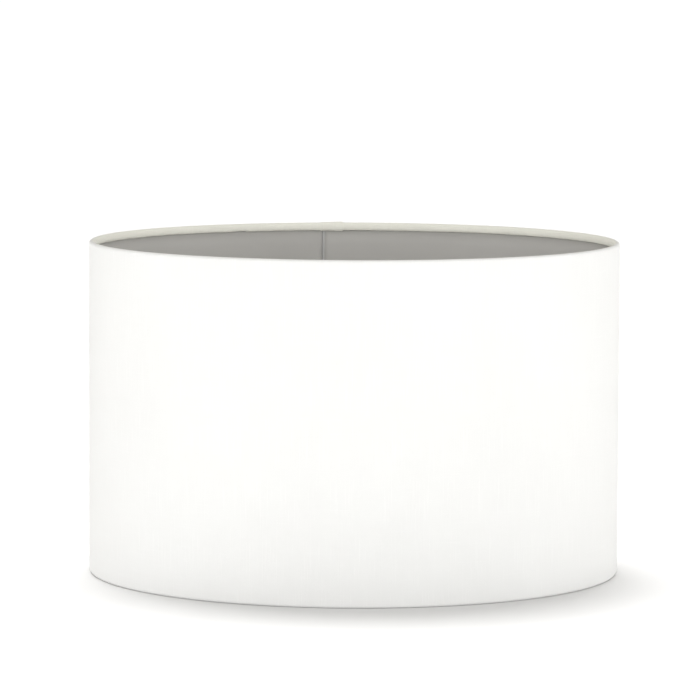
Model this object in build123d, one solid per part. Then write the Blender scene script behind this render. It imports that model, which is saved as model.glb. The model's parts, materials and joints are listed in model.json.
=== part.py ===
"""Drum lamp shade with rolled rims and a bottom fitter.

Millimetres, +Z up. The origin is the centre of the circle that the shade
stands on, and the seam is on the +Y side.
"""
from build123d import *
import math
import os

# The drum
shade_diameter = 400
shade_height = 250
cloth_thickness = 0.4
lining_thickness = 0.4

# The rims: a wire ring wrapped in tape, with the cloth rolled over it
ring_wire = 3.0
tape_thickness = 0.2
hem_depth = 6.4  # from the rim's edge to where the tucked cloth meets the lining
roll_edge = 1.2  # how far the roll's edges are turned in, beside the flat that it stands on
glue_gap = 0.3  # hollow between ring and lining, measured out from the lining

# The seam: the cloth's folded end laps over its other end
seam_angle = 90
lining_gap = 2.0
lap_width = 16.0
fold_width = 5.5
seam_tape_width = 9.0
seam_tape_margin = 1.0  # from the lap's start, and from both of its ends

# The fitter: three wires that hold a washer for the lamp holder
spoke_count = 3
first_spoke_angle = 30
spoke_wire = 3.0
spoke_foot = 16.0  # level run beside the ring
spoke_slope = 24.0  # how far in the wire travels while it rises
spoke_bend = 8.0
spoke_weld = 4.0  # how far the wire reaches under the washer
slit_clearance = 0.3  # round each wire, where it leaves the hem
washer_bore = 42.0
washer_width = 9.0
washer_thickness = 1.6
fitter_rise = 30.0  # height of the washer's underside

# The reducer: a loose ring that drops into the washer
reducer_bore = 29.0
reducer_clearance = 0.3
flange_lip = 6.0  # how far the flange reaches over the washer
flange_thickness = 1.6
spigot_drop = 1.0  # how far the spigot passes the washer's underside
reducer_edge = 0.4

# Worked out from the sizes above
outer_radius = shade_diameter / 2
cloth_inside = outer_radius - cloth_thickness
lining_inside = cloth_inside - lining_thickness
taped_wire = ring_wire / 2 + tape_thickness
ring_radius = lining_inside - taped_wire
ring_height = cloth_thickness + taped_wire
rim_width = outer_radius - ring_radius + taped_wire + cloth_thickness
rim_inside = outer_radius - rim_width
washer_radius = washer_bore / 2 + washer_width
spoke_height = fitter_rise - spoke_wire / 2
spoke_angles = [first_spoke_angle + i * 360 / spoke_count for i in range(spoke_count)]


def ring_of(section):
    """Turn a section, drawn as (radius, height), all the way round the axis."""
    return revolve(Plane.XZ * section, Axis.Z, 360)


def block(inner, outer, low, high):
    """A rectangular section between two radii and two heights."""
    middle = ((inner + outer) / 2, (low + high) / 2)
    return Pos(*middle) * Rectangle(outer - inner, high - low)


def at_top(piece):
    """The same piece, for the top rim."""
    return mirror(piece, Plane.XY.offset(shade_height / 2))


def arc_degrees(length):
    """The angle that a length takes up round the drum."""
    return math.degrees(length / outer_radius)


def drum_patch(inner, outer, start, end, low, high):
    """A piece of drum wall from start to end, as lengths along the wall clockwise from the seam."""
    patch = revolve(Plane.XZ * block(inner, outer, low, high), Axis.Z, arc_degrees(end - start))
    return Rot(0, 0, seam_angle - arc_degrees(end)) * patch


def outer_cover():
    """The cloth wall between the two rolls."""
    return ring_of(block(cloth_inside, outer_radius, ring_height, shade_height - ring_height))


def lining_panel():
    """The stiff plastic sheet behind the cloth; its ends stop short of each other at the seam."""
    tube = ring_of(block(lining_inside, cloth_inside, ring_height, shade_height - ring_height))
    slot = Box(outer_radius, lining_gap, shade_height, align=(Align.MIN, Align.CENTER, Align.MIN))
    return tube - Rot(0, 0, seam_angle) * slot


def taped_ring_section():
    """The section of the ring wire and its tape together."""
    return Pos(ring_radius, ring_height) * Circle(taped_wire)


def wire_ring():
    """The bottom wire ring."""
    return ring_of(Pos(ring_radius, ring_height) * Circle(ring_wire / 2))


def ring_tape():
    """The tape wrapped round the bottom wire ring."""
    wire = Pos(ring_radius, ring_height) * Circle(ring_wire / 2)
    return ring_of(taped_ring_section() - wire)


def rolled_hem():
    """The cloth rolled under the bottom ring, up inside it and tucked in against the lining."""
    outline = [
        (outer_radius, ring_height),
        (outer_radius, roll_edge),
        (outer_radius - roll_edge, 0),
        (rim_inside + roll_edge, 0),
        (rim_inside, roll_edge),
        (rim_inside, ring_height + taped_wire),
        (lining_inside, hem_depth),
        (lining_inside, ring_height),
    ]
    hollow = block(lining_inside - glue_gap, lining_inside, ring_height, ring_height + taped_wire)
    return ring_of(make_face(Polyline(*outline, close=True)) - taped_ring_section() - hollow)


def seam_tape():
    """The tape that holds the cloth's lap down."""
    low = ring_height + seam_tape_margin
    start = seam_tape_margin
    return drum_patch(
        outer_radius,
        outer_radius + tape_thickness,
        start,
        start + seam_tape_width,
        low,
        shade_height - low,
    )


def seam_lap(tape):
    """The cloth's end, lapped over the seam with its raw edge folded under."""
    low, high = ring_height, shade_height - ring_height
    lap_face = outer_radius + tape_thickness + cloth_thickness
    lap = drum_patch(outer_radius, lap_face, 0, lap_width, low, high)
    fold_start = lap_width - fold_width
    fold_face = lap_face + cloth_thickness
    fold = drum_patch(lap_face, fold_face, fold_start, lap_width, low, high)
    return lap + fold - tape


def spoke_path():
    """The line of a spoke's wire, along +X from the ring to the washer."""
    foot_end = ring_radius - spoke_foot
    points = [
        (ring_radius, 0, ring_height),
        (foot_end, 0, ring_height),
        (foot_end - spoke_slope, 0, spoke_height),
        (washer_radius - spoke_weld, 0, spoke_height),
    ]
    return FilletPolyline(*points, radius=spoke_bend)


def spoke(angle, ring):
    """One wire, welded to the bottom ring and to the washer's underside."""
    section = Plane(origin=(ring_radius, 0, ring_height), z_dir=(-1, 0, 0)) * Circle(spoke_wire / 2)
    wire = sweep(section, path=spoke_path())
    return Rot(0, 0, angle) * wire - ring


def spoke_slit(angle):
    """The snip round a spoke where it leaves the hem."""
    width = spoke_wire + 2 * slit_clearance
    length = rim_width + slit_clearance
    middle = ring_radius + slit_clearance - length / 2
    return Rot(0, 0, angle) * Pos(middle, 0, ring_height) * Box(length, width, width)


def carrier_ring():
    """The washer that the lamp holder clamps."""
    top = fitter_rise + washer_thickness
    return ring_of(block(washer_bore / 2, washer_radius, fitter_rise, top))


def reducer_ring():
    """The loose ring that makes the washer's hole smaller."""
    seat = fitter_rise + washer_thickness
    bore = reducer_bore / 2
    flange = block(bore, washer_bore / 2 + flange_lip, seat, seat + flange_thickness)
    spigot_outside = washer_bore / 2 - reducer_clearance
    spigot = block(bore, spigot_outside, fitter_rise - spigot_drop, seat)
    ring = ring_of(flange + spigot)
    top_rim = ring.edges().filter_by(GeomType.CIRCLE).group_by(Axis.Z)[-1]
    return chamfer(top_rim.sort_by(SortBy.RADIUS)[-1], reducer_edge)


def build_parts():
    """Every sub-part, by node name."""
    ring = wire_ring()
    tape = ring_tape()
    hem = rolled_hem()
    lap_tape = seam_tape()
    spokes = [spoke(angle, ring) for angle in spoke_angles]
    slits = [spoke_slit(angle) for angle in spoke_angles]
    parts = {
        "outer_cover": outer_cover(),
        "lining_panel": lining_panel(),
        "top_hem": at_top(hem),
        "bottom_hem": hem - slits,
        "seam_lap": seam_lap(lap_tape),
        "seam_tape": lap_tape,
        "top_ring": at_top(ring),
        "bottom_ring": ring,
        "top_ring_tape": at_top(tape),
        "bottom_ring_tape": tape - slits,
        "carrier_ring": carrier_ring(),
        "reducer_ring": reducer_ring(),
    }
    for number, wire in enumerate(spokes, start=1):
        parts[f"spoke_{number}"] = wire
    return parts


os.makedirs("parts", exist_ok=True)
for name, piece in build_parts().items():
    export_step(piece, f"parts/{name}.step")
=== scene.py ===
"""Drum lamp shade: cloth rolled over wire rims, a stiff lining and a bottom fitter."""

import json
import math

import bmesh
import bpy
from bpy.props import FloatProperty, FloatVectorProperty, IntProperty, PointerProperty
from mathutils import Matrix, Vector, noise

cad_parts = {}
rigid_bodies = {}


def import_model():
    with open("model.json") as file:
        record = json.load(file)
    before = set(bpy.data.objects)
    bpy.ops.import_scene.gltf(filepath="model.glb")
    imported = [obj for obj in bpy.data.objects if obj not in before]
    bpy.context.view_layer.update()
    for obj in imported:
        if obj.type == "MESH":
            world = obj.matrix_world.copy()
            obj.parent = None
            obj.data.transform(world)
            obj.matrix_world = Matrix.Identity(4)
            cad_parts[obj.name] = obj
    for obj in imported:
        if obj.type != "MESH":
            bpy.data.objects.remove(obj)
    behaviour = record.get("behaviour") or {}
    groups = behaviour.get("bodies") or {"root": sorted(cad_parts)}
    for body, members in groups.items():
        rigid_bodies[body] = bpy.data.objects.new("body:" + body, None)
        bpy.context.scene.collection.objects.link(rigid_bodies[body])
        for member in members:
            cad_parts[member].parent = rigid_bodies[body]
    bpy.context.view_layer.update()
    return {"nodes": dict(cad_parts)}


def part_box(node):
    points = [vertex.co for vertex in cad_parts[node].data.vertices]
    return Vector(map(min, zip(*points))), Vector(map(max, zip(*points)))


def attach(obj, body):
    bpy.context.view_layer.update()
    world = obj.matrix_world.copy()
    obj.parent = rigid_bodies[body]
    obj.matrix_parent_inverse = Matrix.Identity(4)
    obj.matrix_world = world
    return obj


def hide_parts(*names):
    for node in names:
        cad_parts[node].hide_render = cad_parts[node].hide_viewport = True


bl_info = {
    "name": "Drum Lamp Shade",
    "version": (1, 0, 0),
    "blender": (4, 5, 0),
    "location": "3D Viewport > Sidebar > Shade",
    "description": "Builds the cloth, lining, fitter and studio of a drum lamp shade",
    "category": "Add Mesh",
}

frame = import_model()

MM = 0.001
FULL_TURN = 2 * math.pi
BODY = "shade"
REDUCER_BODY = "reducer"


def node_box(node):
    """A frame node's lowest and highest corners."""
    low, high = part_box(node)
    return Vector(low), Vector(high)


# Corners of the frame's nodes
COVER_HIGH = node_box("outer_cover")[1]
HEM_LOW, HEM_HIGH = node_box("top_hem")
LINING_LOW, LINING_HIGH = node_box("lining_panel")
RING_LOW, RING_HIGH = node_box("bottom_ring")
TAPE_LOW, TAPE_HIGH = node_box("bottom_ring_tape")
LAP_HIGH = node_box("seam_lap")[1]
WASHER_LOW, WASHER_HIGH = node_box("carrier_ring")
REDUCER_LOW, REDUCER_HIGH = node_box("reducer_ring")
SPOKE_LOW, SPOKE_HIGH = node_box("spoke_3")  # the spoke that lies along -Y

# The drum. The taped ring stands on the cloth and touches the lining
RADIUS = COVER_HIGH.x
HEIGHT = HEM_HIGH.z
CIRCUMFERENCE = FULL_TURN * RADIUS
CLOTH = TAPE_LOW.z  # thickness
LINING_OUT = LINING_HIGH.x
LINING_IN = TAPE_HIGH.x

# The rims
WIRE = (RING_HIGH.z - RING_LOW.z) / 2  # radius
TAPED_WIRE = (TAPE_HIGH.z - TAPE_LOW.z) / 2  # radius
TAPE = TAPED_WIRE - WIRE  # thickness
RING_HEIGHT = (RING_HIGH.z + RING_LOW.z) / 2
RING_RADIUS = RING_HIGH.x - WIRE
RIM_WIDTH = RADIUS - LINING_IN + 2 * TAPED_WIRE + CLOTH
HEM_DEPTH = HEM_HIGH.z - HEM_LOW.z

# The seam. Its lap runs clockwise from +Y, so its reach along X is its width
SEAM_ANGLE = math.pi / 2
LAP_WIDTH = LAP_HIGH.x
LAP_LIFT = 2 * CLOTH + TAPE
# Past the joint, and closer together where the lap steps up
LAP_COLUMNS_MM = (0.4, 1.0, 2.0, 4.0, 7.0, 9.6, 10.0, 10.4, 10.8, 12.0, 14.0, 15.4)

# The fitter
SPOKE_ANGLES = [math.radians(angle) for angle in (30, 150, 270)]
SPOKE_WIRE = (SPOKE_HIGH.x - SPOKE_LOW.x) / 2  # radius
SPOKE_SIDES = 20
BEND_STEPS = 6
WASHER_STEPS = 96
REDUCER_STEPS = 144
REDUCER_CLEARANCE = 0.3 * MM
WASHER_WELD = Vector((1.9, 0.75, 0.7)) * MM  # half-sizes, along the spoke, across it and up
RING_WELD = Vector((0.7, 0.9, 1.15)) * MM
FITTER_PIECES = ("bent_spoke", "fitter_washer", "reducer_flanged")

# The studio
FLOOR_REACH = 60.0
HIGH_LIGHT_SPREAD = math.radians(28)
HIGH_LIGHT_AIM = Vector((0.02, -0.32, -1.0))
LAMP_DISTANCE = 3.2
LAMP_HEIGHT = 0.7
LAMP_SIZE = (1.2, 1.0)
LAMP_COLOR = (0.95, 0.97, 1.0)
LAMPS_TURN = math.radians(5)  # of all three lamps together, from the camera's side
LAMPS_APART = math.radians(70)
SKY_COLOR = (1, 0.98, 0.935, 1)
SKY_AT_HORIZON = 1.12
SKY_OVERHEAD = 0.72


# Properties


class ClothSettings(bpy.types.PropertyGroup):
    """The cloth cover's make-up."""

    steps: IntProperty(name="Steps", description="Columns round the drum", default=480, min=90)
    wall_rows: IntProperty(name="Wall Rows", description="Rows up the wall", default=12, min=4)
    roll_rows: IntProperty(name="Roll Rows", description="Rows round each roll", default=12, min=6)
    tuck_rows: IntProperty(name="Tuck Rows", description="Rows down each tuck", default=10, min=5)
    fold_width: FloatProperty(
        name="Fold Width",
        description="Width of the lap's folded end",
        default=5.5 * MM,
        unit="LENGTH",
    )
    squareness: FloatProperty(
        name="Tuck Shape",
        description="1 is an ellipse; smaller is squarer",
        default=0.8,
    )
    start_back: FloatProperty(
        name="Underlap",
        description="How far the under layer reaches past the joint",
        default=0.5 * MM,
        unit="LENGTH",
    )
    rim_press: FloatProperty(
        name="Rim Press",
        description="How much the lapped layers are pressed together round the rims",
        default=0.3,
    )
    ripple: FloatProperty(
        name="Ripple",
        description="How far the wall strays from a true drum",
        default=0.12 * MM,
        unit="LENGTH",
    )
    crease_place: FloatProperty(
        name="Crease Place",
        description="Distance round the cloth of the one crease in the top tuck",
        default=1193 * MM,
        unit="LENGTH",
    )
    pucker: FloatProperty(
        name="Pucker",
        description="Depth of the small gathers on the tucked edge",
        default=0.1 * MM,
        unit="LENGTH",
    )
    slit_clearance: FloatProperty(
        name="Slit Clearance",
        description="Room round a spoke where it leaves the hem",
        default=0.3 * MM,
        unit="LENGTH",
    )
    color: FloatVectorProperty(
        name="Cloth Color",
        description="Colour of the threads",
        subtype="COLOR",
        size=3,
        default=(0.845, 0.845, 0.835),
        min=0,
        max=1,
    )
    # Painted light: a lighter, warmer tint round the rims that stands in for the light bounced inside
    # the drum
    rim_color: FloatVectorProperty(
        name="Rim Tint",
        description="What the glue under the rolled rims does to the cloth's colour",
        subtype="COLOR",
        size=3,
        default=(1.09, 1.08, 0.995),
        min=0,
        max=2,
    )


class LiningSettings(bpy.types.PropertyGroup):
    """The stiff lining."""

    steps: IntProperty(name="Steps", description="Columns round the drum", default=360, min=90)
    rows: IntProperty(name="Rows", description="Rows up the wall", default=16, min=4)
    gap: FloatProperty(
        name="Joint Gap",
        description="Gap between the sheet's ends",
        default=2.0 * MM,
        unit="LENGTH",
    )
    joint_shift: FloatProperty(
        name="Joint Shift",
        description="How far clockwise the joint lies from the cloth's seam",
        default=0.4 * MM,
        unit="LENGTH",
    )
    lift: FloatProperty(
        name="End Lift",
        description="How far the sheet's end springs inward at the joint",
        default=0.25 * MM,
        unit="LENGTH",
    )
    color: FloatVectorProperty(
        name="Lining Color",
        description="Colour of the plastic sheet",
        subtype="COLOR",
        size=3,
        default=(0.465, 0.456, 0.438),
        min=0,
        max=1,
    )


class FitterSettings(bpy.types.PropertyGroup):
    """The spokes, washer and reducer."""

    foot: FloatProperty(
        name="Foot",
        description="Level run of a spoke beside the ring",
        default=16 * MM,
        unit="LENGTH",
    )
    slope: FloatProperty(
        name="Slope",
        description="How far in a spoke travels while it rises",
        default=24 * MM,
        unit="LENGTH",
    )
    bend: FloatProperty(
        name="Bend Radius",
        description="Radius of a spoke's bends",
        default=8 * MM,
        unit="LENGTH",
    )
    washer_bore: FloatProperty(
        name="Washer Bore",
        description="Diameter of the washer's hole",
        default=42 * MM,
        unit="LENGTH",
    )
    reducer_bore: FloatProperty(
        name="Reducer Bore",
        description="Diameter of the reducer's hole",
        default=29 * MM,
        unit="LENGTH",
    )
    metal_color: FloatVectorProperty(
        name="Coating Color",
        description="Colour of the coated metal",
        subtype="COLOR",
        size=3,
        default=(0.8, 0.8, 0.78),
        min=0,
        max=1,
    )
    plastic_color: FloatVectorProperty(
        name="Plastic Color",
        description="Colour of the reducer",
        subtype="COLOR",
        size=3,
        default=(0.82, 0.82, 0.79),
        min=0,
        max=1,
    )


class StudioSettings(bpy.types.PropertyGroup):
    """Camera and light."""

    distance: FloatProperty(
        name="Distance",
        description="Camera's distance from the drum's axis",
        default=3.4,
        unit="LENGTH",
    )
    height: FloatProperty(
        name="Height",
        description="Camera's height above the floor",
        default=0.4942,
        unit="LENGTH",
    )
    azimuth: FloatProperty(
        name="Azimuth",
        description="Camera's place round the drum",
        default=math.radians(-7.3),
        subtype="ANGLE",
    )
    pitch: FloatProperty(
        name="Pitch",
        description="How far the camera looks down",
        default=0.0960,
        subtype="ANGLE",
    )
    yaw: FloatProperty(
        name="Yaw",
        description="How far the camera looks left of the drum's axis",
        default=0.00089,
        subtype="ANGLE",
    )
    roll: FloatProperty(
        name="Roll",
        description="How far the camera leans",
        default=0.0044,
        subtype="ANGLE",
    )
    lens: FloatProperty(name="Lens", description="Focal length in millimetres", default=232.3)
    sky: FloatProperty(name="Sky", description="Strength of the even light", default=0.76)
    key: FloatProperty(name="Key", description="Strength of the floor's light", default=2.85)
    inner: FloatProperty(name="Inner", description="Strength of the light inside", default=1.2)
    front: FloatProperty(name="Front", description="Power of the front light", default=22.0)
    side: FloatProperty(name="Side", description="Power of each side light", default=19.5)


# Shader maths


class Socket:
    """One output socket, with operators that add Math nodes."""

    def __init__(self, shader, output):
        self.shader = shader
        self.output = output

    def _math(self, operation, *inputs):
        values = dict(enumerate(inputs))
        return self.shader.node("ShaderNodeMath", {"operation": operation}, values)

    def __add__(self, other):
        return self._math("ADD", self, other)

    def __radd__(self, other):
        return self._math("ADD", other, self)

    def __sub__(self, other):
        return self._math("SUBTRACT", self, other)

    def __rsub__(self, other):
        return self._math("SUBTRACT", other, self)

    def __mul__(self, other):
        return self._math("MULTIPLY", self, other)

    def __rmul__(self, other):
        return self._math("MULTIPLY", other, self)

    def sine(self):
        """The sine of the value."""
        return self._math("SINE", self)

    def ramp(self, low, high, to_low=0.0, to_high=1.0):
        """The value mapped smoothly from one range to another, and clamped."""
        values = {"Value": self, 1: low, 2: high, 3: to_low, 4: to_high}
        settings = {"interpolation_type": "SMOOTHSTEP"}
        return self.shader.node("ShaderNodeMapRange", settings, values)


class Shader:
    """A material's node tree, built around one Principled shader."""

    def __init__(self, name, **constants):
        self.material = bpy.data.materials.new(name)
        self.material.use_nodes = True
        self.tree = self.material.node_tree
        self.tree.nodes.clear()
        self.surface = self.tree.nodes.new("ShaderNodeBsdfPrincipled")
        self.output = self.tree.nodes.new("ShaderNodeOutputMaterial")
        self.tree.links.new(self.surface.outputs[0], self.output.inputs[0])
        for socket, value in constants.items():
            self.surface.inputs[socket.replace("_", " ")].default_value = value

    def node(self, kind, settings=None, values=None, out=0):
        """Adds a node: its settings first, then its sockets' values or links."""
        node = self.tree.nodes.new(kind)
        for key, value in (settings or {}).items():
            setattr(node, key, value)
        for key, value in (values or {}).items():
            if isinstance(value, Socket):
                self.tree.links.new(value.output, node.inputs[key])
            else:
                node.inputs[key].default_value = value
        return Socket(self, node.outputs[out])

    def feed(self, socket, value):
        """Links a value to one of the surface's sockets."""
        self.tree.links.new(value.output, self.surface.inputs[socket])

    def mix(self, factor, first, second, blend="MIX"):
        """A colour between two, as linear RGB triples or links."""
        values = {0: factor}
        for slot, colour in ((6, first), (7, second)):
            values[slot] = colour if isinstance(colour, Socket) else (*colour, 1)
        settings = {"data_type": "RGBA", "blend_type": blend}
        return self.node("ShaderNodeMix", settings, values, out=2)

    def split(self, vector, axis):
        """One part of a vector."""
        return self.node("ShaderNodeSeparateXYZ", None, {0: vector}, out=axis)

    def noise(self, vector, scale, detail=2.0, roughness=0.5):
        """Soft noise, 0 to 1. The scale is in waves per metre: one number, or one for each axis."""
        if isinstance(scale, tuple):
            stretch = {0: vector, 1: scale}
            vector = self.node("ShaderNodeVectorMath", {"operation": "MULTIPLY"}, stretch)
            scale = 1.0
        values = {"Vector": vector, "Scale": scale, "Detail": detail, "Roughness": roughness}
        return self.node("ShaderNodeTexNoise", None, values)

    def uv(self):
        """The piece's own UV map, in metres."""
        return self.node("ShaderNodeUVMap", {"uv_map": "Flat"})

    def place(self):
        """Object coordinates."""
        return self.node("ShaderNodeTexCoord", out=3)

    def bump(self, height, distance, strength):
        """Feeds a height, 0 to 1, to the surface's normal."""
        values = {"Strength": strength, "Distance": distance, "Height": height}
        self.feed("Normal", self.node("ShaderNodeBump", None, values))


# Materials


def shade_of(colour, factor):
    """A colour made lighter or darker."""
    return tuple(min(1.0, channel * factor) for channel in colour)


def woven_cloth(settings, rim, length):
    """Plain weave with thicker threads here and there, both up the drum and round it.

    A painted warm, lighter tint round both rims stands in for the light bounced inside the
    drum. Glue soaks a strip of the cloth's start, which shows between the lining's ends, with a
    painted shadow along the lining's end. The rim and the length are distances along the cloth.
    """
    shader = Shader(
        "Woven Cloth", Sheen_Weight=0.12, Sheen_Roughness=0.5, Specular_IOR_Level=0.25
    )
    flat = shader.uv()
    across, along = shader.split(flat, 0), shader.split(flat, 1)

    # The weave
    threads_per_metre = 1 / (0.55 * MM)
    wander = shader.noise(flat, (90, 90, 1)) * 0.8
    warp_place = across * threads_per_metre + wander
    weft_place = along * threads_per_metre + wander
    warp = (warp_place * FULL_TURN).sine() * 0.5 + 0.5
    weft = (weft_place * FULL_TURN).sine() * 0.5 + 0.5
    crossing = (warp_place * math.pi).sine() * (weft_place * math.pi).sine()
    over = crossing.ramp(-0.35, 0.35)
    weave = warp * over + weft * (1 - over)

    # Thicker threads, and a tone that drifts
    upright = shader.noise(flat, (1100, 24, 1), 3.0, 0.6).ramp(0.52, 0.72)
    level = shader.noise(flat, (20, 1100, 1), 3.0, 0.6).ramp(0.55, 0.75)
    slub = upright * 0.65 + level * 0.35
    cloud = shader.noise(flat, (14, 9, 1))
    tone = weave * 0.3 + slub * 0.35 + cloud * 0.35
    cloth = shader.mix(tone, shade_of(settings.color, 0.925), shade_of(settings.color, 1.06))

    # The painted warm, lighter tint round the rims, standing in for light bounced inside the drum; it
    # fades out over the roll
    wall_start, wall_full = rim - 5.5 * MM, rim - 2.5 * MM
    from_top = along.ramp(wall_start, wall_full)
    wall = from_top * along.ramp(length - wall_full, length - wall_start, 1.0, 0.0)
    painted_rim_light = shader.mix(wall, settings.rim_color, (1, 1, 1))
    cloth = shader.mix(1.0, cloth, painted_rim_light, "MULTIPLY")

    # The glued strip, with a painted shadow darkest along the cloth's start beside the lining's end
    glued = across.ramp(4 * MM, 5 * MM, 1.0, 0.0) * wall
    # Painted shadow: the darkest line, along the cloth's start, stands in for the shade beside the
    # lining's end
    painted_edge_shadow = across.ramp(0.5 * MM, 0.8 * MM, 1.0, 0.0)
    glue = shader.mix(painted_edge_shadow, shade_of(settings.color, 0.72), shade_of(settings.color, 0.62))
    shader.feed("Base Color", shader.mix(glued, cloth, glue))
    shader.feed("Roughness", weave.ramp(0.0, 1.0, 0.95, 0.82))
    shader.bump(weave * 0.5 + slub * 0.9, 0.12 * MM, 0.8)
    return shader.material


def plastic_sheet(settings):
    """Smooth calendered sheet with a soft sheen, faint streaks and specks."""
    shader = Shader("Lining Sheet", Specular_IOR_Level=0.35)
    flat = shader.uv()
    streak = shader.noise(flat, (60, 3, 1), 3.0)
    speck = shader.noise(flat, (900, 900, 1))
    cloud = shader.noise(flat, (6, 5, 1))
    tone = streak * 0.35 + speck * 0.3 + cloud * 0.35
    colour = shader.mix(tone, shade_of(settings.color, 0.95), shade_of(settings.color, 1.05))
    shader.feed("Base Color", colour)
    shader.feed("Roughness", (streak * 0.5 + speck * 0.5).ramp(0.3, 0.7, 0.42, 0.6))
    shader.bump(speck, 0.02 * MM, 0.5)
    return shader.material


def clouded(shader, place, scale, colour):
    """Feeds the surface a colour that is a little lighter in some places than in others."""
    cloud = shader.noise(place, scale).ramp(0.3, 0.7)
    shader.feed("Base Color", shader.mix(cloud, shade_of(colour, 0.97), shade_of(colour, 1.02)))


def coated_metal(name, colour):
    """Powder coating with a fine orange peel."""
    shader = Shader(name)
    place = shader.place()
    peel = shader.noise(place, 900.0)
    clouded(shader, place, 40.0, colour)
    shader.feed("Roughness", peel.ramp(0.3, 0.7, 0.3, 0.45))
    shader.bump(peel, 0.03 * MM, 0.5)
    return shader.material


def moulded_plastic(colour):
    """Satin moulded plastic with a fine spark-eroded grain."""
    shader = Shader("Moulded Plastic")
    place = shader.place()
    grain = shader.noise(place, 2500.0)
    clouded(shader, place, 60.0, colour)
    shader.feed("Roughness", grain.ramp(0.3, 0.7, 0.4, 0.52))
    shader.bump(grain, 0.02 * MM, 0.4)
    return shader.material


def cream_tape():
    """Paper-backed tape with long fibres."""
    shader = Shader("Cream Tape")
    fibre = shader.noise(shader.place(), (300, 300, 60), 3.0)
    colour = shader.mix(fibre.ramp(0.3, 0.7), (0.72, 0.68, 0.55), (0.8, 0.77, 0.66))
    shader.feed("Base Color", colour)
    shader.feed("Roughness", fibre.ramp(0.3, 0.7, 0.6, 0.78))
    shader.bump(fibre, 0.04 * MM, 0.5)
    return shader.material


# Mesh helpers


def finish_piece(name, bm, material, body=BODY):
    """Turns a bmesh into a piece that rides on a body."""
    mesh = bpy.data.meshes.new(name)
    bm.to_mesh(mesh)
    bm.free()
    mesh.shade_smooth()
    piece = bpy.data.objects.new(name, mesh)
    bpy.context.scene.collection.objects.link(piece)
    mesh.materials.append(material)
    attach(piece, body)
    return piece


def thicken(piece, thickness):
    """Gives a sheet its thickness, on the side away from its normals."""
    solid = piece.modifiers.new("Thickness", "SOLIDIFY")
    solid.thickness = thickness
    solid.offset = -1.0
    solid.use_even_offset = False


def round_edges(piece, width, segments):
    """Rounds a piece's sharp edges."""
    bevel = piece.modifiers.new("Edges", "BEVEL")
    bevel.width = width
    bevel.segments = segments
    bevel.limit_method = "ANGLE"
    bevel.angle_limit = math.radians(40)
    bevel.harden_normals = False


def only(kind, items):
    """The items of one kind."""
    return [item for item in items if isinstance(item, kind)]


def chain(bm, points):
    """Edges between (radius, height) points, joined in a line."""
    verts = [bm.verts.new((r, 0, z)) for r, z in points]
    return [bm.edges.new(pair) for pair in zip(verts, verts[1:])]


def grow(bm, edges):
    """Extrudes edges in place, and returns the new vertices and the edges that join them."""
    grown = bmesh.ops.extrude_edge_only(bm, edges=edges)["geom"]
    verts = only(bmesh.types.BMVert, grown)
    new = set(verts)
    edges = only(bmesh.types.BMEdge, grown)
    return verts, [edge for edge in edges if new.issuperset(edge.verts)]


def spin_sheet(bm, edges, distances, radius, turn, steps):
    """Spins a line of edges clockwise from +X, and returns the last edges.

    Each vertex's distance round, at the radius, goes into the layer of distances.
    """
    start = list(bm.verts)
    last = bmesh.ops.spin(
        bm,
        geom=start + edges,
        cent=(0, 0, 0),
        axis=(0, 0, -1),
        angle=turn,
        steps=steps,
        use_merge=False,
    )["geom_last"]
    for vert in bm.verts:
        vert[distances] = (-math.atan2(vert.co.y, vert.co.x)) % FULL_TURN * radius
    for vert in start:
        vert[distances] = 0.0
    for vert in only(bmesh.types.BMVert, last):
        vert[distances] = turn * radius
    return only(bmesh.types.BMEdge, last)


def unwrap(bm, flat_place):
    """Lays a sheet out flat, with each vertex where the function puts it."""
    flat = bm.loops.layers.uv.new("Flat")
    for face in bm.faces:
        for loop in face.loops:
            loop[flat].uv = flat_place(loop.vert)


def smoothstep(low, high, value):
    """0 at low, 1 at high, smooth between and level beyond."""
    t = min(1.0, max(0.0, (value - low) / (high - low)))
    return t * t * (3 - 2 * t)


def round_noise(distance, wavelength, height=0.0, seed=0.0):
    """Noise, about -1 to 1, that meets itself after one turn of the drum."""
    angle = distance / RADIUS
    reach = CIRCUMFERENCE / wavelength / FULL_TURN
    point = Vector((math.cos(angle) * reach, math.sin(angle) * reach, height / wavelength + seed))
    return noise.noise(point)


def wall_ripple(distance, height, amount):
    """How far the wall strays outward from a true drum. The rims hold it nearly true."""
    edge = 25 * MM
    left_at_rims = 0.25
    free = smoothstep(0, edge, height) * smoothstep(0, edge, HEIGHT - height)
    broad = round_noise(distance, 90 * MM, height * 0.5)
    fine = round_noise(distance, 35 * MM, height * 0.3, seed=7)
    return amount * (broad + 0.5 * fine) * (left_at_rims + (1 - left_at_rims) * free)


# The cloth


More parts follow.
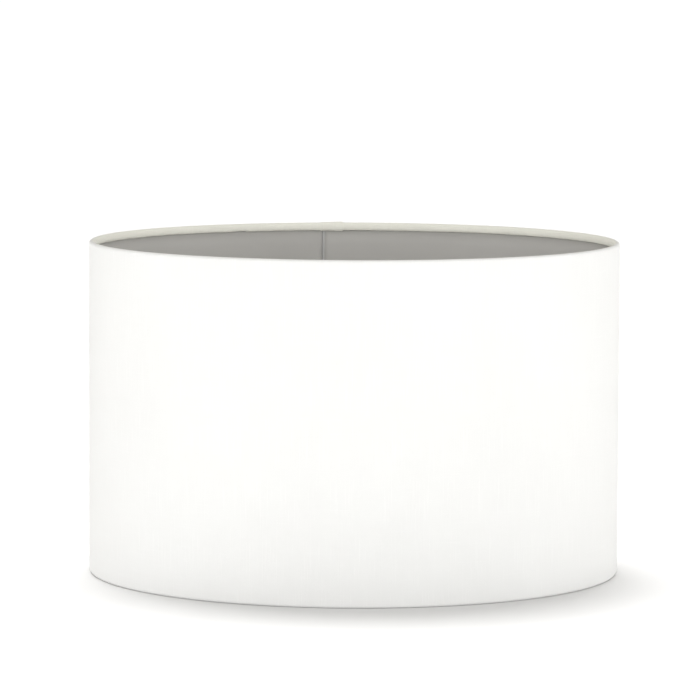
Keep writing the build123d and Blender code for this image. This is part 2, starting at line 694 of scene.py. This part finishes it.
def top_rim_profile(settings):
    """(radius, height) points from the hidden end of the top tuck over the roll to the wall."""
    tuck_height = HEIGHT - HEM_DEPTH
    # The raw edge, turned back up behind the tuck
    hidden_side = LINING_IN - 0.08 * MM
    points = [(hidden_side, tuck_height + height) for height in (2.2 * MM, 1.2 * MM)]

    # The tuck's rounded lower edge
    lip = 0.45 * MM
    lip_side = LINING_IN - lip - 0.05 * MM
    lip_rows = 4
    for i in range(lip_rows):
        turn = math.pi / 2 * i / lip_rows
        side = lip_side + lip * math.cos(turn)
        points.append((side, tuck_height + lip - lip * math.sin(turn)))

    # The tuck, up to the roll
    roll = RIM_WIDTH / 2
    roll_height = HEIGHT - roll
    width = lip_side - (RADIUS - RIM_WIDTH)
    depth = HEM_DEPTH - roll
    for i in range(settings.tuck_rows + 1):
        turn = math.pi / 2 * (1 - i / settings.tuck_rows)
        across = math.cos(turn) ** settings.squareness
        along = math.sin(turn) ** settings.squareness
        points.append((lip_side - width * across, roll_height - depth * along))

    # The roll
    for i in range(1, settings.roll_rows + 1):
        turn = math.pi * (1 - i / settings.roll_rows)
        side = RADIUS - roll + roll * math.cos(turn)
        points.append((side, roll_height + roll * math.sin(turn)))
    return points


def cloth_profile(settings):
    """(radius, height) points of the whole cloth, from one hidden end to the other."""
    top = top_rim_profile(settings)
    bottom = [(r, HEIGHT - z) for r, z in reversed(top)]
    high, low = top[-1][1], bottom[0][1]
    rows = settings.wall_rows
    wall = [(RADIUS, high + (low - high) * i / rows) for i in range(1, rows)]
    return top + wall + bottom


def profile_normals(points):
    """The outward direction at each point of a profile that runs down the outside."""
    normals = []
    last = len(points) - 1
    for i in range(len(points)):
        before, after = points[max(i - 1, 0)], points[min(i + 1, last)]
        run = Vector((after[0] - before[0], after[1] - before[1])).normalized()
        normals.append((-run.y, run.x))
    return normals


def profile_lengths(points):
    """The distance along the profile at each point."""
    lengths = [0.0]
    for (r0, z0), (r1, z1) in zip(points, points[1:]):
        lengths.append(lengths[-1] + math.hypot(r1 - r0, z1 - z0))
    return lengths


def lap_lift(distance, fold_width):
    """How far the cloth rises over its own start as it passes the joint, and over its own fold."""
    past = distance - CIRCUMFERENCE
    fold_start = LAP_WIDTH - fold_width
    over_start = (CLOTH + TAPE) * smoothstep(-2.0 * MM, 0.4 * MM, past)
    return over_start + CLOTH * smoothstep(fold_start - 0.8 * MM, fold_start + 0.2 * MM, past)


def fold_columns(fold_width):
    """(distance, lift) of the columns that turn the lap's end under."""
    end = CIRCUMFERENCE + LAP_WIDTH
    low = 0.06 * MM
    radius = (LAP_LIFT - low) / 2
    bulge = radius / 2
    steps = 6
    turn = []
    for i in range(1, steps):
        angle = math.pi * i / steps
        turn.append((end + bulge * math.sin(angle), low + radius + radius * math.cos(angle)))
    return turn + [(end, low), (end - fold_width, low)]


class ClothSheet:
    """Shapes the cloth: its rows follow a profile, and its columns run round the drum."""

    def __init__(self, settings):
        self.settings = settings
        self.points = cloth_profile(settings)
        self.normals = profile_normals(self.points)
        self.lengths = profile_lengths(self.points)
        self.rim = self.lengths[len(top_rim_profile(settings)) - 1]

    def tucked(self, height):
        """0 on the roll, rising to 1 at the tucked edge, for either rim."""
        depth = min(height, HEIGHT - height)
        return smoothstep(1.5 * MM, HEM_DEPTH, depth)

    def crease(self, distance):
        """How far one crease lifts the top tuck's edge: slowly, then all at once back."""
        end = self.settings.crease_place
        rise, run = 0.7 * MM, 22 * MM
        return rise * smoothstep(end - run, end, distance) if distance < end else 0.0

    def press(self, height, distance):
        """Presses the lapped layers flat where the shade stands on them.

        There the lap passes under the cloth's start, which is lifted to let it by and comes
        down again past it.
        """
        at_start = distance < CIRCUMFERENCE / 2
        past = distance + CIRCUMFERENCE if at_start else distance
        stack = lap_lift(past, self.settings.fold_width)
        if at_start:
            stack *= smoothstep(LAP_WIDTH + 12 * MM, LAP_WIDTH, distance)
        soft = 1.2 * MM
        return height if height > soft else (height + stack) * soft / (soft + stack)

    def place(self, row, distance, lift):
        """The point of the cloth at a row, a distance round it and a lift off the profile."""
        settings = self.settings
        r, z = self.points[row]
        normal_r, normal_z = self.normals[row]
        rim_turn = abs(math.atan2(normal_z, normal_r))
        lift *= 1 - settings.rim_press * smoothstep(0, math.pi / 2, rim_turn)
        if r < RADIUS - CLOTH:
            at_top = z > HEIGHT / 2
            tucked = self.tucked(z)
            gather = round_noise(distance, 7 * MM, z * 2, seed=3) * settings.pucker
            drift = round_noise(distance, 45 * MM, seed=11 if at_top else 17) * 0.22 * MM
            lift += gather * (0.35 + tucked)
            z += (self.crease(distance) - drift if at_top else drift) * tucked
        else:
            r += wall_ripple(distance, z, settings.ripple)
        r += normal_r * lift
        z = self.press(z + normal_z * lift, distance)
        angle = SEAM_ANGLE - (distance - settings.start_back) / RADIUS
        return Vector((r * math.cos(angle), r * math.sin(angle), z))

    def lap_columns(self):
        """(distance, lift) of the columns past the joint."""
        width = self.settings.fold_width
        past = [column * MM for column in LAP_COLUMNS_MM] + [LAP_WIDTH]
        distances = [CIRCUMFERENCE + distance for distance in past]
        return [(distance, lap_lift(distance, width)) for distance in distances]

    def build(self):
        """The cloth as a sheet with no thickness."""
        settings = self.settings
        width = settings.fold_width
        bm = bmesh.new()
        rows = bm.verts.layers.int.new("row")
        distances = bm.verts.layers.float.new("distance")
        lifts = bm.verts.layers.float.new("lift")
        edges = chain(bm, self.points)
        for index, vert in enumerate(bm.verts):
            vert[rows] = index
        edges = spin_sheet(bm, edges, distances, RADIUS, FULL_TURN, settings.steps)
        for vert in bm.verts:
            vert[lifts] = lap_lift(vert[distances], width)
        for distance, lift in self.lap_columns() + fold_columns(width):
            verts, edges = grow(bm, edges)
            for vert in verts:
                vert[distances] = distance
                vert[lifts] = lift
        unwrap(bm, lambda vert: (vert[distances], self.lengths[vert[rows]]))
        for vert in bm.verts:
            vert.co = self.place(vert[rows], vert[distances], vert[lifts])
        return bm


def cut_slit(bm, angle, half_width):
    """Snips a square hole in the bottom hem's inner side, where a spoke passes."""
    along = Vector((math.cos(angle), math.sin(angle), 0))
    side = Vector((-along.y, along.x, 0))
    up = Vector((0, 0, 1))
    middle = up * RING_HEIGHT
    reach = 12 * MM

    def near(face):
        centre = face.calc_center_median()
        inside = 0 < centre.dot(along) < RING_RADIUS and centre.z < HEM_DEPTH
        return inside and abs(centre.dot(side)) < reach

    def in_slit(face):
        centre = face.calc_center_median()
        return max(abs(centre.dot(side)), abs(centre.z - RING_HEIGHT)) < half_width

    for normal in (side, -side, up, -up):
        geometry = set()
        for face in filter(near, bm.faces):
            geometry.update((face, *face.edges, *face.verts))
        bmesh.ops.bisect_plane(
            bm,
            geom=list(geometry),
            dist=1e-7,
            plane_co=middle + normal * half_width,
            plane_no=normal,
        )
    cut = [face for face in bm.faces if near(face) and in_slit(face)]
    bmesh.ops.delete(bm, geom=cut, context="FACES")


class SHADE_OT_cloth(bpy.types.Operator):
    """Makes the cloth cover with its rolled hems and its lapped seam"""

    bl_idname = "shade.cloth"
    bl_label = "Cloth Cover"

    def execute(self, context):
        settings = context.scene.shade_cloth
        sheet = ClothSheet(settings)
        bm = sheet.build()
        for angle in SPOKE_ANGLES:
            cut_slit(bm, angle, SPOKE_WIRE + settings.slit_clearance)
        bmesh.ops.recalc_face_normals(bm, faces=bm.faces)
        cloth = finish_piece("cloth_cover", bm, woven_cloth(settings, sheet.rim, sheet.lengths[-1]))
        thicken(cloth, CLOTH)
        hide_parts("outer_cover", "top_hem", "bottom_hem", "seam_lap")
        return {"FINISHED"}


class SHADE_OT_lining(bpy.types.Operator):
    """Makes the stiff plastic lining, with its ends apart at the seam"""

    bl_idname = "shade.lining"
    bl_label = "Lining"

    def execute(self, context):
        settings = context.scene.shade_lining
        ripple = context.scene.shade_cloth.ripple
        low, high, rows = LINING_LOW.z, LINING_HIGH.z, settings.rows
        turn = FULL_TURN - settings.gap / LINING_IN
        bm = bmesh.new()
        distances = bm.verts.layers.float.new("distance")
        edges = chain(bm, [(LINING_IN, low + (high - low) * i / rows) for i in range(rows + 1)])
        spin_sheet(bm, edges, distances, LINING_IN, turn, settings.steps)
        unwrap(bm, lambda vert: (vert[distances], vert.co.z))
        for vert in bm.verts:
            distance, height = vert[distances], vert.co.z
            lift = self.end_lift(settings, turn * LINING_IN - distance, height)
            radius = LINING_IN - lift + wall_ripple(distance, height, ripple)
            around = settings.joint_shift + settings.gap / 2 + distance
            angle = SEAM_ANGLE - around / LINING_IN
            vert.co = Vector((radius * math.cos(angle), radius * math.sin(angle), height))
        bmesh.ops.recalc_face_normals(bm, faces=bm.faces)
        if bm.faces[0].normal.dot(bm.faces[0].calc_center_median()) > 0:
            bmesh.ops.reverse_faces(bm, faces=bm.faces)
        lining = finish_piece("lining_sheet", bm, plastic_sheet(settings))
        thicken(lining, LINING_OUT - LINING_IN)
        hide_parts("lining_panel")
        return {"FINISHED"}

    def end_lift(self, settings, from_end, height):
        """How far the sheet's end springs inward. The tucked cloth holds it back at the top."""
        held_share = 0.6
        free = smoothstep(8 * MM, 30 * MM, HEIGHT - height)
        lift = settings.lift * smoothstep(7 * MM, 0, from_end)
        return lift * (free * held_share + 1 - held_share)


# The fitter


def spoke_bends(settings):
    """The slope's angle, and the lengths of a spoke's foot, sloped run and level run."""
    rise = SPOKE_HIGH.z - SPOKE_WIRE - RING_HEIGHT
    slope = math.atan2(rise, settings.slope)
    taken = settings.bend * math.tan(slope / 2)
    sloped = math.hypot(rise, settings.slope) - 2 * taken
    end = -SPOKE_HIGH.y  # how far the wire's inner end is from the axis
    reach = RING_RADIUS - settings.foot - settings.slope - end
    return slope, settings.foot - taken, sloped, reach - taken


def tube_run(bm, ring, direction, length):
    """Extrudes a ring of edges along a straight run and returns the new ring."""
    verts, ring = grow(bm, ring)
    bmesh.ops.translate(bm, verts=verts, vec=direction * length)
    return ring


def tube_bend(bm, ring, centre, angle):
    """Spins a ring of edges round a bend, about a line along Y, and returns the new ring."""
    verts = list({vert for edge in ring for vert in edge.verts})
    spun = bmesh.ops.spin(
        bm,
        geom=verts + ring,
        cent=centre,
        axis=(0, 1, 0),
        angle=angle,
        steps=BEND_STEPS,
        use_merge=False,
    )
    return only(bmesh.types.BMEdge, spun["geom_last"])


def spoke_mesh(settings):
    """A spoke along +X, from inside the ring's wire to the washer."""
    slope, foot, sloped, level = spoke_bends(settings)
    inward = Vector((-1, 0, 0))
    up = Vector((0, 0, 1))
    turn = Matrix.Rotation(slope, 3, "Y")
    climb = turn @ inward
    bm = bmesh.new()
    start = Matrix.Translation((RING_RADIUS, 0, RING_HEIGHT)) @ Matrix.Rotation(math.pi / 2, 4, "Y")
    circle = bmesh.ops.create_circle(
        bm, cap_ends=False, segments=SPOKE_SIDES, radius=SPOKE_WIRE, matrix=start
    )
    ring = list({edge for vert in circle["verts"] for edge in vert.link_edges})
    ring = tube_run(bm, ring, inward, foot)
    place = Vector((RING_RADIUS - foot, 0, RING_HEIGHT))
    centre = place + up * settings.bend
    ring = tube_bend(bm, ring, centre, slope)
    place = centre + turn @ (place - centre)
    ring = tube_run(bm, ring, climb, sloped)
    place += climb * sloped
    centre = place - turn @ up * settings.bend
    ring = tube_bend(bm, ring, centre, -slope)
    ring = tube_run(bm, ring, inward, level)
    bmesh.ops.contextual_create(bm, geom=ring)
    return bm


def weld_bead(bm, place, size):
    """A small lump of weld, as a flattened ball."""
    shape = Matrix.Translation(place) @ Matrix.Diagonal((*size, 1))
    bmesh.ops.create_icosphere(bm, subdivisions=3, radius=1.0, matrix=shape)


def add_welds(bm):
    """Beads on both sides of a spoke's two ends."""
    for side in (-1, 1):
        under_washer = (WASHER_HIGH.x - 1.6 * MM, side * 1.35 * MM, WASHER_LOW.z - 0.3 * MM)
        weld_bead(bm, under_washer, WASHER_WELD)
        beside_ring = (RING_RADIUS - WIRE * 0.95, side * 1.2 * MM, RING_HEIGHT)
        weld_bead(bm, beside_ring, RING_WELD)


class SHADE_OT_spokes(bpy.types.Operator):
    """Makes the fitter's three bent wires and their welds"""

    bl_idname = "shade.spokes"
    bl_label = "Spokes"

    def execute(self, context):
        settings = context.scene.shade_fitter
        material = coated_metal("Coated Wire", settings.metal_color)
        for number, angle in enumerate(SPOKE_ANGLES, start=1):
            bm = spoke_mesh(settings)
            add_welds(bm)
            bmesh.ops.rotate(bm, verts=bm.verts, cent=(0, 0, 0), matrix=Matrix.Rotation(angle, 3, "Z"))
            bmesh.ops.recalc_face_normals(bm, faces=bm.faces)
            spoke = finish_piece(f"bent_spoke_{number}", bm, material)
            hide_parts(f"spoke_{number}")
        return {"FINISHED"}


def spun_ring(bm, points, steps):
    """Spins a closed outline of (radius, height) points about the axis."""
    edges = chain(bm, points)
    verts = list(bm.verts)
    edges.append(bm.edges.new((verts[-1], verts[0])))
    bmesh.ops.spin(
        bm,
        geom=verts + edges,
        cent=(0, 0, 0),
        axis=(0, 0, 1),
        angle=FULL_TURN,
        steps=steps,
        use_merge=True,
    )
    bmesh.ops.remove_doubles(bm, verts=bm.verts, dist=1e-6)
    bmesh.ops.recalc_face_normals(bm, faces=bm.faces)


class SHADE_OT_washer(bpy.types.Operator):
    """Makes the washer that the lamp holder clamps"""

    bl_idname = "shade.washer"
    bl_label = "Washer"

    def execute(self, context):
        settings = context.scene.shade_fitter
        bore = settings.washer_bore / 2
        low, high, edge = WASHER_LOW.z, WASHER_HIGH.z, WASHER_HIGH.x
        bm = bmesh.new()
        spun_ring(bm, [(bore, low), (edge, low), (edge, high), (bore, high)], WASHER_STEPS)
        washer = finish_piece("fitter_washer", bm, coated_metal("Coated Washer", settings.metal_color))
        round_edges(washer, 0.35 * MM, 3)
        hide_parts("carrier_ring")
        return {"FINISHED"}


class SHADE_OT_reducer(bpy.types.Operator):
    """Makes the loose reducer ring that drops into the washer"""

    bl_idname = "shade.reducer"
    bl_label = "Reducer Ring"

    def execute(self, context):
        settings = context.scene.shade_fitter
        bore = settings.reducer_bore / 2
        spigot = settings.washer_bore / 2 - REDUCER_CLEARANCE
        low, high, edge = REDUCER_LOW.z, REDUCER_HIGH.z, REDUCER_HIGH.x
        seat = WASHER_HIGH.z
        flange_top, ledge_top = high - 0.2 * MM, high - 0.5 * MM
        ledge, slope = 1.4 * MM, 0.6 * MM
        outline = [
            (bore, low),
            (spigot, low),
            (spigot, seat),
            (edge, seat),
            (edge, flange_top),
            (spigot + slope, flange_top),
            (spigot, high),
            (bore + ledge + slope, high),
            (bore + ledge, ledge_top),
            (bore, ledge_top),
        ]
        bm = bmesh.new()
        spun_ring(bm, outline, REDUCER_STEPS)
        plastic = moulded_plastic(settings.plastic_color)
        reducer = finish_piece("reducer_flanged", bm, plastic, REDUCER_BODY)
        round_edges(reducer, 0.15 * MM, 2)
        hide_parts("reducer_ring")
        return {"FINISHED"}


class SHADE_OT_rings(bpy.types.Operator):
    """Gives the wire rings and their tapes their finishes"""

    bl_idname = "shade.rings"
    bl_label = "Rings and Tapes"

    def execute(self, context):
        wire = coated_metal("Ring Coating", context.scene.shade_fitter.metal_color)
        tape = cream_tape()
        finishes = {
            "top_ring": wire,
            "bottom_ring": wire,
            "top_ring_tape": tape,
            "bottom_ring_tape": tape,
            "seam_tape": tape,
        }
        for node, material in finishes.items():
            for material_slot in frame["nodes"][node].material_slots:
                material_slot.material = material
        return {"FINISHED"}


# The studio


def aim_light(name, data, direction):
    """Adds a lamp that shines in a direction."""
    lamp = bpy.data.objects.new(name, data)
    bpy.context.scene.collection.objects.link(lamp)
    lamp.rotation_euler = direction.to_track_quat("-Z", "Y").to_euler()
    return lamp


def soft_lamp(name, angle, power):
    """A soft lamp beside the drum, at an angle round it, that faces its middle."""
    data = bpy.data.lights.new(name, "AREA")
    data.shape = "RECTANGLE"
    data.size, data.size_y = LAMP_SIZE
    data.energy = power
    data.color = LAMP_COLOR
    place = Vector((math.sin(angle), -math.cos(angle), 0)) * LAMP_DISTANCE
    place.z = LAMP_HEIGHT
    lamp = aim_light(name, data, Vector((0, 0, HEIGHT / 2)) - place)
    lamp.location = place


def high_light(name, receivers, strength):
    """A soft light from high behind that only reaches the named objects."""
    data = bpy.data.lights.new(name, "SUN")
    data.energy = strength
    data.angle = HIGH_LIGHT_SPREAD
    reached = bpy.data.collections.new(name)
    for receiver in receivers:
        reached.objects.link(bpy.data.objects[receiver])
    lamp = aim_light(name, data, HIGH_LIGHT_AIM)
    lamp.light_linking.receiver_collection = reached


def graded_sky(strength):
    """Even, slightly warm light that is a little stronger at the horizon than overhead."""
    world = bpy.data.worlds.new("Studio")
    world.use_nodes = True
    nodes, links = world.node_tree.nodes, world.node_tree.links
    background = nodes["Background"]
    background.inputs[0].default_value = SKY_COLOR
    direction = nodes.new("ShaderNodeTexCoord")
    parts = nodes.new("ShaderNodeSeparateXYZ")
    fade = nodes.new("ShaderNodeMapRange")
    fade.inputs[3].default_value = strength * SKY_AT_HORIZON
    fade.inputs[4].default_value = strength * SKY_OVERHEAD
    links.new(direction.outputs[0], parts.inputs[0])
    links.new(parts.outputs[2], fade.inputs[0])
    links.new(fade.outputs[0], background.inputs[1])
    return world


def pale_floor():
    """White floor that only shows from above."""
    shader = Shader("Pale Floor", Roughness=0.85, Specular_IOR_Level=0.0)
    tone = shader.noise(shader.place(), 0.6)
    shader.feed("Base Color", shader.mix(tone, (0.7, 0.7, 0.7), (0.72, 0.72, 0.72)))
    clear = shader.node("ShaderNodeBsdfTransparent")
    below = shader.node("ShaderNodeNewGeometry", out=6)
    solid = Socket(shader, shader.surface.outputs[0])
    mixed = shader.node("ShaderNodeMixShader", None, {0: below, 1: solid, 2: clear})
    shader.tree.links.new(mixed.output, shader.output.inputs[0])
    return shader.material


class SHADE_OT_studio(bpy.types.Operator):
    """Makes the floor, the lights and the camera"""

    bl_idname = "shade.studio"
    bl_label = "Studio"

    def execute(self, context):
        settings = context.scene.shade_studio
        self.make_floor(context)
        self.make_lights(context, settings)
        self.make_camera(context, settings)
        context.scene.view_settings.view_transform = "Standard"
        return {"FINISHED"}

    def make_floor(self, context):
        """A wide plane that the shade stands on."""
        bm = bmesh.new()
        bmesh.ops.create_grid(bm, x_segments=1, y_segments=1, size=FLOOR_REACH)
        mesh = bpy.data.meshes.new("floor")
        bm.to_mesh(mesh)
        bm.free()
        floor = bpy.data.objects.new("floor", mesh)
        context.scene.collection.objects.link(floor)
        mesh.materials.append(pale_floor())

    def make_lights(self, context, settings):
        """Even light all round, high lights for the floor and the fitter, and three soft lamps."""
        context.scene.world = graded_sky(settings.sky)
        fitter = [name for name in bpy.data.objects.keys() if name.startswith(FITTER_PIECES)]
        high_light("Floor Light", ["floor"], settings.key)
        high_light("Inner Light", fitter, settings.inner)
        middle = settings.azimuth + LAMPS_TURN
        soft_lamp("Front Light", middle, settings.front)
        soft_lamp("Left Light", middle - LAMPS_APART, settings.side)
        soft_lamp("Right Light", middle + LAMPS_APART, settings.side)

    def make_camera(self, context, settings):
        """A long lens, a little above the shade."""
        data = bpy.data.cameras.new("Camera")
        data.sensor_width = 36.0
        data.lens = settings.lens
        data.clip_end = 200.0
        camera = bpy.data.objects.new("Camera", data)
        context.scene.collection.objects.link(camera)
        turn = settings.azimuth
        place = Vector((math.sin(turn), -math.cos(turn), 0)) * settings.distance
        place.z = settings.height
        facing = Matrix.Rotation(turn + settings.yaw, 4, "Z")
        tilt = Matrix.Rotation(math.pi / 2 - settings.pitch, 4, "X")
        lean = Matrix.Rotation(settings.roll, 4, "Z")
        camera.matrix_world = Matrix.Translation(place) @ facing @ tilt @ lean
        context.scene.camera = camera


class SHADE_PT_panel(bpy.types.Panel):
    """Buttons for each group of pieces"""

    bl_label = "Drum Lamp Shade"
    bl_space_type = "VIEW_3D"
    bl_region_type = "UI"
    bl_category = "Shade"

    def draw(self, context):
        for operator in OPERATORS:
            self.layout.operator(operator.bl_idname)


SETTINGS = {
    "shade_cloth": ClothSettings,
    "shade_lining": LiningSettings,
    "shade_fitter": FitterSettings,
    "shade_studio": StudioSettings,
}
OPERATORS = (
    SHADE_OT_cloth,
    SHADE_OT_lining,
    SHADE_OT_rings,
    SHADE_OT_spokes,
    SHADE_OT_washer,
    SHADE_OT_reducer,
    SHADE_OT_studio,
)


def register():
    """Adds the classes and their settings."""
    for cls in (*SETTINGS.values(), *OPERATORS, SHADE_PT_panel):
        bpy.utils.register_class(cls)
    for name, group in SETTINGS.items():
        setattr(bpy.types.Scene, name, PointerProperty(type=group))


def unregister():
    """Takes the classes and their settings away."""
    for name in SETTINGS:
        delattr(bpy.types.Scene, name)
    for cls in reversed((*SETTINGS.values(), *OPERATORS, SHADE_PT_panel)):
        bpy.utils.unregister_class(cls)


def main():
    """Builds everything."""
    register()
    for operator in OPERATORS:
        group, action = operator.bl_idname.split(".")
        getattr(getattr(bpy.ops, group), action)()


if __name__ == "__main__":
    main()
